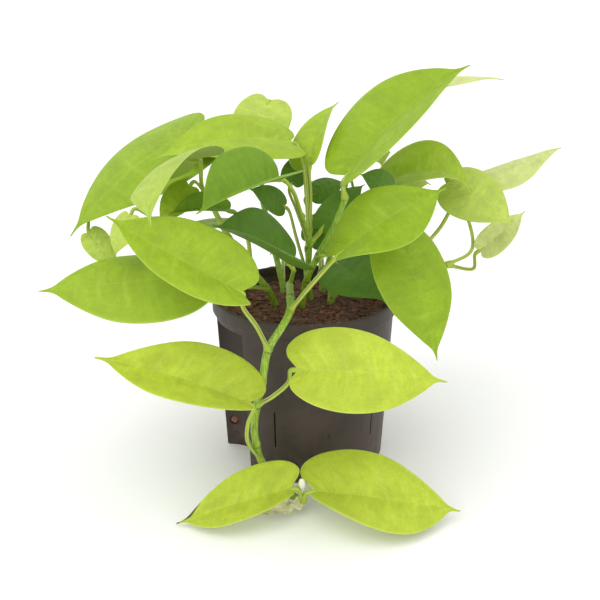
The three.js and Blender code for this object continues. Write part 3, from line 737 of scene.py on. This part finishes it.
def leaf_mesh(name, leaf, material, nodes, slot="leaf", thick=BLADE, wither=0, ragged=0):
    """A closed blade: midrib sunk above and proud below, side veins, a gently waved margin.

    wither is the sign of the half whose margin has withered, ragged how far the margin is torn.
    """
    seed = sum(ord(c) * (i + 3) for i, c in enumerate(name))
    chance = random.Random(seed)
    base, along, up, out, length = leaf_axes(leaf)
    width, form = leaf[4:]
    spans = (WAVE_TURNS, SPIN, WAVE_SIZE)
    waves = [[chance.uniform(*span) for span in spans] for _ in range(WAVES)]
    uneven = chance.uniform(-UNEVEN, UNEVEN)

    half = np.append((np.arange(COLS - 1) / (COLS - 1)) ** COL_SPREAD, (RIM_FROM, 1.0))
    cols = np.append(-half[:0:-1], half)
    f = np.abs(cols)[None, :]
    sign = np.sign(cols)[None, :]
    t = np.linspace(0, 1, ROWS + 1)[:, None]
    start, along_midrib, away = (OUTLINE[:, k:k + 1] for k in range(3))
    u = start + (along_midrib - start) * f ** VEIN_BEND
    w = sign * away * f * (1 + sign * uneven)
    if ragged:
        tear = [noise.noise(Vector((TEARS * x, 0.3 * seed, 0))) for x in t[:, 0]]
        w = w * (1 + ragged * np.array(tear)[:, None] * f)
    side = w * length * width / (2 * HALF_MAX)
    lean = radians(form.get("fold", 0))
    x = side * cos(lean)
    z = sin(lean) * (np.sqrt(side ** 2 + FOLD_SOFT ** 2) - FOLD_SOFT)
    z = z - form.get("cup", CUP) * side ** 2 / length
    for turns, phase, size in waves:
        wave = np.sin(TURN * turns * t + phase + WAVE_APART * sign)
        z = z + size * (length / WAVE_LENGTH) * f ** WAVE_EDGE * wave
    between = np.cos(TURN * SIDE_VEINS * t)
    z = z - VEIN_DEPTH * between * 4 * f * (1 - f) * np.minimum(1, 8 * t * (1 - t))
    turn = radians(form.get("twist", 0)) * (u - STILL)
    x, z = x * np.cos(turn) - z * np.sin(turn), x * np.sin(turn) + z * np.cos(turn)
    z = z + form.get("arch", 0) * 4 * u * (1 - u)
    slid = u * length + form.get("skew", 0) * side
    place = base + slid[..., None] * along + x[..., None] * out + z[..., None] * up
    place[..., 2] = np.maximum(place[..., 2], LOWEST)
    normal = surface_normals(place, up)

    wide = np.abs(side)
    taper = (1 - t) ** 0.7
    groove = GROOVE[0] * np.exp(-((wide / GROOVE[1]) ** 2)) * taper
    ridge = (RIDGE[0] + RIDGE[1] * taper) * np.exp(-((wide / RIDGE[2]) ** 2))
    body = (thick / 2) * np.where(f < 1, 1, 0)
    upper = place + normal * (body - groove)[..., None]
    lower = place - normal * (body + (ridge if slot == "leaf" else 0))[..., None]

    points, uvs, under, dried = [], [], [], []
    index = {}

    def add(key, p, i, j, below):
        index[key] = len(points)
        points.append(p)
        uvs.append((t[i, 0], 0.5 + 0.5 * cols[j]))
        under.append(below)
        dried.append(dryness(t[i, 0], cols[j] * wither) if wither else 0.0)

    last = 2 * COLS
    for i in range(ROWS + 1):
        for j in range(last + 1):
            if i in (0, ROWS):
                if j == COLS:
                    add((i, 0), upper[i, j], i, j, 0)
                    add((i, 1), lower[i, j], i, j, 1)
            elif j in (0, last):  # both sides share the margin
                add((i, j, 0), place[i, j], i, j, 0.5)
                index[(i, j, 1)] = index[(i, j, 0)]
            else:
                add((i, j, 0), upper[i, j], i, j, 0)
                add((i, j, 1), lower[i, j], i, j, 1)

    def at(i, j, s):
        return index[(i, s)] if i in (0, ROWS) else index[(i, j, s)]

    faces = []
    for i in range(ROWS):
        for j in range(last):
            for s in (0, 1):
                ring = once([at(i, j, s), at(i + 1, j, s), at(i + 1, j + 1, s), at(i, j + 1, s)])
                if len(ring) > 2:
                    faces.append(ring[::-1] if s else ring)
    for i, k in ((0, 1), (ROWS, ROWS - 1)):  # the small gaps where the margin meets base and tip
        a, b = index[(i, 0)], index[(i, 1)]
        faces += [[a, b, at(k, 0, 0)], [b, a, at(k, last, 0)]]
    piece = mesh_piece(
        name, points, faces, material, nodes,
        [("under", under), ("wither", dried), ("leaf", [seed % 97] * len(points))], uvs)
    outward(piece.data)


# ---------------- vines
def plain(s, total, angle, r):
    return r, NO_MARKS


def tube(points, sides, radius, section=plain, facing=(0.3, 0.9, 0.2)):
    """Rings round a route. radius and section give the size and the marks at a place, and
    facing is the way that angle 0 looks at the far end."""
    centre, gone = route(points)
    n = len(centre)
    tangent = np.array([unit(v) for v in np.gradient(centre, axis=0)])
    normal = np.zeros_like(centre)
    guess = np.array(facing, float)
    normal[-1] = unit(guess - tangent[-1] * guess.dot(tangent[-1]))
    for i in range(n - 2, -1, -1):
        normal[i] = unit(normal[i + 1] - tangent[i] * normal[i + 1].dot(tangent[i]))
    other = np.cross(tangent, normal)
    out, uvs, marks = [], [], []
    for i in range(n):
        for a in TURN * np.arange(sides) / sides:
            angle = (a + pi) % TURN - pi
            r, mark = section(gone[i], gone[-1], angle, radius(gone[i], gone[-1]))
            out.append(centre[i] + r * (cos(a) * normal[i] + sin(a) * other[i]))
            uvs.append((gone[i] / UV_LENGTH, a / TURN))
            marks.append(mark)
    faces = []
    for i in range(n - 1):
        for k in range(sides):
            m = (k + 1) % sides
            faces.append([i * sides + k, i * sides + m, (i + 1) * sides + m, (i + 1) * sides + k])
    for i, sign in ((0, -1), (n - 1, 1)):  # blunt ends
        tip = len(out)
        out.append(centre[i] + sign * 0.5 * radius(gone[i], gone[-1]) * tangent[i])
        uvs.append((gone[i] / UV_LENGTH, 0))
        marks.append(NO_MARKS)
        for k in range(sides):
            ring = [i * sides + k, i * sides + (k + 1) % sides, tip]
            faces.append(ring if sign > 0 else ring[::-1])
    return out, faces, uvs, marks


def petiole_shape(whole, run):
    """Radius and section of a petiole whose last run lies under the blade's midrib."""

    def radius(s, total):
        height, away, width = KNEE
        knee = height * whole * hill(s - total + run + away, width)
        r = PETIOLE_R * whole + PETIOLE_FOOT[0] * hill(s, PETIOLE_FOOT[1]) + knee
        return r * (1 - 0.75 * (s - total + run) / run) if s > total - run else r

    def section(s, total, angle, r):
        body = clamp((s - 3) / 6) * clamp((total - run - 2 - s) / 8)
        wing = body * clamp((0.75 * total - s) / (0.25 * total))
        groove = hill(angle, PETIOLE_GROOVE[1])
        lip = hill(abs(angle) - PETIOLE_LIP[0], PETIOLE_LIP[1])
        size = r * (1 - PETIOLE_GROOVE[0] * body * groove + (0.1 * body + 0.32 * wing) * lip)
        return size, (1, body * groove, (0.35 * body + 0.65 * wing) * lip, 0, 0)

    return radius, section


def bud_radius(s, total):
    x = s / total
    pearl = max(0.0, 1 - ((x - 0.76) / 0.24) ** 2)
    return max(0.25, 1.5 - 0.7 * x if x < 0.6 else 0.0, 2.3 * sqrt(pearl))


def shoot_radius(s, total):
    return 1.5 * (1 - s / total) ** 0.5 + 0.2


def air_root_radius(s, total):
    return 0.75 * (1 - 0.7 * s / total)


def air_root_section(s, total, angle, r):
    return r, (0, 0, 0, DRY_TONE, 0)


def young(lip, pale_from):
    """The section of a growing end, which turns pale from a place along it. On the shoot the pale
    tip is a painted highlight.
    """
    return lambda s, total, angle, r: (r, (0.9, 0, lip, 0, clamp((s / total - pale_from) * 3)))


def vine_piece(name, vine, material):
    chance = random.Random(len(name) * 31 + ord(name[5]))
    whole = ([], [], [], [])
    stem = vine["stem"]
    centre, gone = route(stem)

    def reached(k):
        return gone[int(np.argmin(np.linalg.norm(centre - np.array(stem[k]), axis=1)))]

    joints = sorted({start for start, *_ in vine["petioles"].values()})
    others = [k for k in range(2, len(stem) - 1) if k not in joints]
    nodes = [reached(k) for k in joints + others[::2]]
    first, final = vine["radii"]

    def stem_radius(s, total):
        swell = sum(SWELL[0] * hill(s - a, SWELL[1]) for a in nodes)
        waist = 0.03 * sin(s / 9)
        return (first + (final - first) * s / total) * (1 + swell + waist)

    def stem_section(s, total, angle, r):
        ridges = 0.035 * cos(5 * angle + 0.02 * s) + 0.02 * cos(9 * angle)
        scar = max(hill(s - a - SCAR[0], SCAR[1]) * (0.65 + 0.35 * cos(2 * angle + a))
                   for a in nodes)
        return r * (1 + ridges - SCAR[2] * scar), (0, 0, 0, DRY_TONE * scar, 0)

    join(whole, tube(stem, STEM_SIDES, stem_radius, stem_section))

    for number, (start, via, *own) in vine["petioles"].items():
        leaf = LEAVES[number]
        base, along, up, _, length = leaf_axes(leaf)
        neck = own[0] if own else NECK
        last = [base - along * neck - up * 0.5 * neck] if neck else []
        under = base - up * PETIOLE_UNDER[0]
        run = min(PETIOLE_END[1], PETIOLE_END[0] * length)
        rise = leaf[-1].get("arch", 0) * 4 * (run / length) * (1 - run / length)
        ahead = base + along * run + up * (rise - PETIOLE_UNDER[1])
        path = [stem[start], *via, *last, under, ahead]
        form = petiole_shape(SLIM if length < SHORT_LEAF else 1.0, run)
        join(whole, tube(path, PETIOLE_SIDES, *form, up))

    if "bud" in vine:
        join(whole, tube(vine["bud"], YOUNG_SIDES, bud_radius, young(0.3, 0.25)))
    if "shoot" in vine:
        # the shoot's pale tip is a painted highlight
        join(whole, tube(vine["shoot"], YOUNG_SIDES, shoot_radius, young(0.2, 0.5)))

    for a in nodes[: max(2, len(nodes) // 2)]:  # dry stubs of air roots at some nodes
        place = centre[int(np.argmin(np.abs(gone - a)))]
        if place[2] < ROOTS_FROM:
            continue
        lean = unit(np.array([chance.uniform(-1, 1), chance.uniform(-1, 1), -0.6]))
        root = place + lean * 1.5
        path = [root, root + lean * 2.2, root + lean * 3.6 + np.array([0, 0, -0.6])]
        join(whole, tube(path, ROOT_SIDES, air_root_radius, air_root_section))

    points, faces, uvs, marks = whole
    marks = zip(MARKS, np.array(marks, float).T)
    mesh_piece(name + "_growth", points, faces, material, [name], marks, uvs)


# ---------------- pot and substrate
def turned(profile, segments):
    """Points and faces of a closed profile turned round the Z axis, for a boolean."""
    points, faces, rows = [], [], []
    for r, z in profile:
        ring = circle(r, z, segments if r else 1)
        rows.append(range(len(points), len(points) + len(ring)))
        points += ring
    for a, b in zip(rows, rows[1:]):
        for k in range(segments):
            m = (k + 1) % segments
            ring = once([a[k % len(a)], a[m % len(a)], b[m % len(b)], b[k % len(b)]])
            if len(ring) > 2:
                faces.append(ring)
    return points, faces


def shape(name, points, faces, place=(0, 0, 0)):
    """A closed shape for a boolean, moved to a place."""
    thing = bare(name, [[c + d for c, d in zip(p, place)] for p in points], faces)
    outward(thing.data)
    return thing


def drum(name, radius, bottom, top, place=(0, 0), segments=DRUM_SEGMENTS):
    profile = [(0, bottom), (radius, bottom), (radius, top), (0, top)]
    return shape(name, *turned(profile, segments), (*place, 0))


def ball(name, r, *place):
    angles = [pi * k / BALL_ROWS for k in range(1, BALL_ROWS)]
    profile = [(0, -r), *((r * sin(a), -r * cos(a)) for a in angles), (0, r)]
    return shape(name, *turned(profile, 2 * BALL_ROWS), place)


def radial_box(name, inner, outer, width, bottom, top, degrees):
    c, s = cos(radians(degrees)), sin(radians(degrees))
    points = []
    for z in (bottom, top):
        for r, side in ((inner, -1), (outer, -1), (outer, 1), (inner, 1)):
            off = side * width / 2
            points.append((r * c - off * s, r * s + off * c, z))
    faces = [[0, 3, 2, 1], [4, 5, 6, 7], [0, 1, 5, 4], [1, 2, 6, 5], [2, 3, 7, 6], [3, 0, 4, 7]]
    return shape(name, points, faces)


def cut(target, tool):
    """Takes the tool's shape out of the target."""
    modifier = target.modifiers.new("cut", "BOOLEAN")
    modifier.solver = "EXACT"
    modifier.object = tool
    with bpy.context.temp_override(object=target, active_object=target, selected_objects=[target]):
        bpy.context.view_layer.objects.active = target
        bpy.ops.object.modifier_apply(modifier=modifier.name)
    bpy.data.objects.remove(tool)


CHANNEL = polar(CHANNEL_AXIS, radians(CHANNEL_AT))
CHIP_X, CHIP_Y = (c + d for c, d in zip(CHANNEL, polar(CHANNEL_R + WALL / 2, CHIP_FACING)))


def arc(cx, cz, r, start, end):
    """Points of a rounded corner in a profile."""
    angles = [radians(start + (end - start) * k / ARC_STEPS) for k in range(ARC_STEPS + 1)]
    return [(cx + r * cos(a), cz + r * sin(a)) for a in angles]


def pot_piece(material):
    band = POT_HEIGHT - BAND_HEIGHT
    mouth = RIM_R - WALL
    outer = [
        (0, 0), (FOOT_R - 8, 0), *arc(FOOT_R - FOOT_ROUND, FOOT_ROUND, FOOT_ROUND, -90, -3),
        *WALL_AT, (BODY_TOP_R - 0.1, band - 0.7),
        *arc(RIM_R - BAND_ROUND, band + 0.9, BAND_ROUND, -75, 0),
        *arc(RIM_R - RIM_ROUND, POT_HEIGHT - RIM_ROUND, RIM_ROUND, 0, 90), (0, POT_HEIGHT),
    ]
    inner = [
        (0, FLOOR), (FOOT_R - WALL - 1.2, FLOOR),
        *arc(FOOT_R - WALL - INNER_ROUND, FLOOR + INNER_ROUND, INNER_ROUND, -90, -3),
        (BODY_TOP_R - WALL, band), (mouth, band + 3), (mouth, POT_HEIGHT - 0.7),
        (mouth + 0.4, POT_HEIGHT + 0.3), (mouth + 0.6, POT_HEIGHT + 1), (0, POT_HEIGHT + 1),
    ]
    shell = shape("pot_moulded", *turned(outer, POT_SEGMENTS))
    hollow = shape("hollow", *turned(inner, POT_SEGMENTS))
    wall = (CHANNEL_R + WALL, -2, CHANNEL_TOP + WALL)
    cut(hollow, drum("channel_wall", *wall, CHANNEL))
    cut(shell, drum("channel", CHANNEL_R, -1, CHANNEL_TOP, CHANNEL))
    cut(shell, hollow)
    for i in range(SLITS):
        at = SLIT_FIRST + SLIT_STEP * i
        ends = (FOOT_R - SLIT_REACH, FOOT_R + SLIT_REACH)
        cut(shell, radial_box("slit", *ends, SLIT_WIDTH, *SLIT_Z, at))
        beside = radians(at + SLIT_STEP / 2)
        for z, r in DIMPLES:
            out = FOOT_R + z / WALL_RISE + DIMPLE_OUT
            cut(shell, ball("dimple", r, *polar(out, beside), z))
    for i in range(DRAINS):
        cut(shell, radial_box("drain", *DRAIN, -1, FLOOR + 1, 360 / DRAINS * i))
    window = drum("window", CHIP_R + GAP, -3 * WALL, 3 * WALL, segments=WINDOW_SEGMENTS)
    turn = Matrix.Rotation(CHIP_FACING, 4, "Z") @ Matrix.Rotation(pi / 2, 4, "Y")
    window.data.transform(Matrix.Translation(Vector((CHIP_X, CHIP_Y, CHIP_Z)) * MM) @ turn)
    cut(shell, window)
    mesh = shell.data
    mesh.materials.clear()
    mesh.materials.append(material)
    mesh.polygons.foreach_set("use_smooth", [True] * len(mesh.polygons))
    mesh.set_sharp_from_angle(angle=SHARP)
    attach(shell, "root")
    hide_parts("pot")


def soil_height(x, y):
    z = SOIL_Z - SOIL_FALL[0] * (hypot(x, y) / SOIL_FALL[1]) ** 4
    p = Vector((x, y, 3.0))
    return z + sum(rise * noise.noise(p / width) for rise, width in SOIL_ROUGH)


def soil_body(material):
    """The substrate's smooth body, with its rough top, below the crumbs."""
    count = SOIL_AROUND
    top = BODY_TOP_R - WALL - 1.0
    points, faces, shade = [(0, 0, soil_height(0, 0))], [], [0.3]
    for i in range(1, SOIL_RINGS + 1):
        for x, y, _ in circle(top * i / SOIL_RINGS, 0, count):
            points.append((x, y, soil_height(x, y)))
            shade.append(0.25 + 0.4 * noise.noise(Vector((x, y, 0)) / 7))
    points += circle(top - 1.4, 80, count)
    points += circle(FOOT_R - WALL - 1.4, FLOOR + GAP, count)
    points.append((0, 0, FLOOR + GAP))
    shade += [0.1] * (len(points) - len(shade))
    for k in range(count):
        m = (k + 1) % count
        faces.append([0, 1 + k, 1 + m])
        for a in range(1, 1 + (SOIL_RINGS + 1) * count, count):
            faces.append([a + k, a + count + k, a + count + m, a + m])
        a = 1 + (SOIL_RINGS + 1) * count
        faces.append([a + k, len(points) - 1, a + m])
    body = mesh_piece("bark_mix", points, faces, material, ["substrate"],
                      [("shade", shade)])
    outward(body.data)
    room = (CHANNEL_R + WALL + GAP, -2, CHANNEL_TOP + WALL + GAP)
    cut(body, drum("room", *room, CHANNEL))


def flake(chance, x, y, z, size):
    """One crumb of bark: a squashed, jittered lump of 12 to 42 points."""
    spin = Matrix.Rotation(chance.uniform(*SPIN), 4, "Z")
    spin = spin @ Matrix.Rotation(chance.gauss(0, 0.45), 4, "X")
    spin = spin @ Matrix.Rotation(chance.gauss(0, 0.3), 4, "Y")
    long, wide, deep = (size * chance.uniform(*span) for span in CRUMB_SPANS)
    shift = chance.uniform(0, 100)

    def moved(c):
        k = 1 + 0.5 * noise.noise(Vector((c.x * 1.7 + shift, c.y * 1.7, c.z * 1.7)))
        ahead = copysign(abs(c.x) ** 0.75, c.x) * long
        aside = copysign(abs(c.y) ** 0.7, c.y) * wide
        q = spin @ (Vector((ahead, aside, c.z * deep)) * k)
        return q.x + x, q.y + y, q.z + z

    return lump(1 if size < LARGE_CRUMB else 2, moved)


def scattered(chance, limit):
    """A random place on the soil and its distance from the axis."""
    r, a = limit * sqrt(chance.random()), chance.uniform(*AROUND)
    return *polar(r, a), r


def litter(material):
    """Loose crumbs of bark and fibres on the soil."""
    chance = random.Random(11)
    whole = ([], [], [])
    limit = RIM_R - WALL - 1.2
    for _ in range(CRUMBS):
        x, y, r = scattered(chance, limit)
        size = chance.choice(CRUMB_SIZES) * chance.uniform(0.8, 1.2)
        if r + size * CRUMB_ROOM > limit:
            continue
        part = flake(chance, x, y, soil_height(x, y) + size * chance.uniform(-0.05, 0.3), size)
        join(whole, (*part, [chance.choice(CRUMB_SHADES)] * len(part[0])))
    for _ in range(FIBRES):
        x, y, _ = scattered(chance, limit - FIBRE_ROOM)
        heading = chance.uniform(*AROUND)
        reach = chance.uniform(3, 8)
        path = []
        for s in range(4):
            px = x + reach * s / 3 * cos(heading) + chance.uniform(-0.9, 0.9)
            py = y + reach * s / 3 * sin(heading) + chance.uniform(-0.9, 0.9)
            path.append((px, py, soil_height(px, py) + 0.7 + chance.uniform(0, 1.6)))
        part = tube(path, FIBRE_SIDES, lambda s, total: FIBRE_R)[:2]
        join(whole, (*part, [chance.uniform(0.6, 1.0)] * len(part[0])))
    points, faces, shade = whole
    mesh_piece("bark_chips", points, faces, material, ["substrate"],
               [("shade", shade)], smooth=False)


def chip_piece(material):
    turn = Matrix.Rotation(CHIP_FACING, 3, "Z")

    def moved(c):
        k = CHIP_R * (0.93 + 0.14 * noise.noise(c * 2.2) + 0.06 * noise.noise(c * 6))
        q = turn @ Vector((c.x * CHIP_FLAT * k, c.y * k, c.z * CHIP_TALL * k))
        return q.x + CHIP_X, q.y + CHIP_Y, q.z + CHIP_Z

    points, faces = lump(4, moved)
    shade = [0.9] * len(points)
    mesh_piece("window_chip", points, faces, material, ["chip"], [("shade", shade)])


# ---------------- build
tones = {name: leaf_material("leaf_" + name, *tone) for name, tone in TONES.items()}
stem_look = vine_material()
bark_look = bark_material()

for number, leaf in LEAVES.items():
    node = f"leaf_{number:02d}"
    wither = DRY_SIDE if number == DRY_LEAF else 0
    leaf_mesh(node + "_blade", leaf, tones[leaf[3]], [node], wither=wither)
leaf_mesh("dry_sheath", SHEATH, sheath_material(), ["tip_sheath"], "dry_sheath", SHEATH_THICK,
          ragged=1)
for vine_name, vine in VINES.items():
    vine_piece(vine_name, vine, stem_look)
pot_piece(pot_material())
soil_body(bark_look)
litter(bark_look)
chip_piece(bark_look)

# ---------------- floor, light and camera
bpy.ops.mesh.primitive_plane_add(size=FLOOR_SIZE, location=(0, 0, 0))
floor = bpy.context.object
floor.name = "floor"
floor.data.materials.append(floor_material())

world = bpy.data.worlds.new("studio")
bpy.context.scene.world = world
world.use_nodes = True
background = world.node_tree.nodes["Background"]
background.inputs["Color"].default_value = (1.0, 1.0, 1.0, 1.0)
background.inputs["Strength"].default_value = 1.0


def soft_sun(name, place, spread, power):
    """A broad light shining from a place toward the origin, the same over the whole floor."""
    lamp = bpy.data.lights.new(name, "SUN")
    lamp.angle = radians(spread)
    lamp.energy = power
    holder = bpy.data.objects.new(name, lamp)
    holder.location = place
    holder.rotation_euler = Vector(place).to_track_quat("Z", "Y").to_euler()
    bpy.context.scene.collection.objects.link(holder)


soft_sun("key", (-0.7, -0.9, 1.6), 50, 0.9)
soft_sun("fill", (1.2, -1.0, 1.0), 60, 0.2)

camera_data = bpy.data.cameras.new("camera")
camera_data.lens = LENS
camera = bpy.data.objects.new("camera", camera_data)
camera.location = CAMERA_PLACE
camera.rotation_euler = (radians(90 - CAMERA_DOWN), 0, 0)
bpy.context.scene.collection.objects.link(camera)
bpy.context.scene.camera = camera
bpy.context.scene.view_settings.view_transform = "Standard"
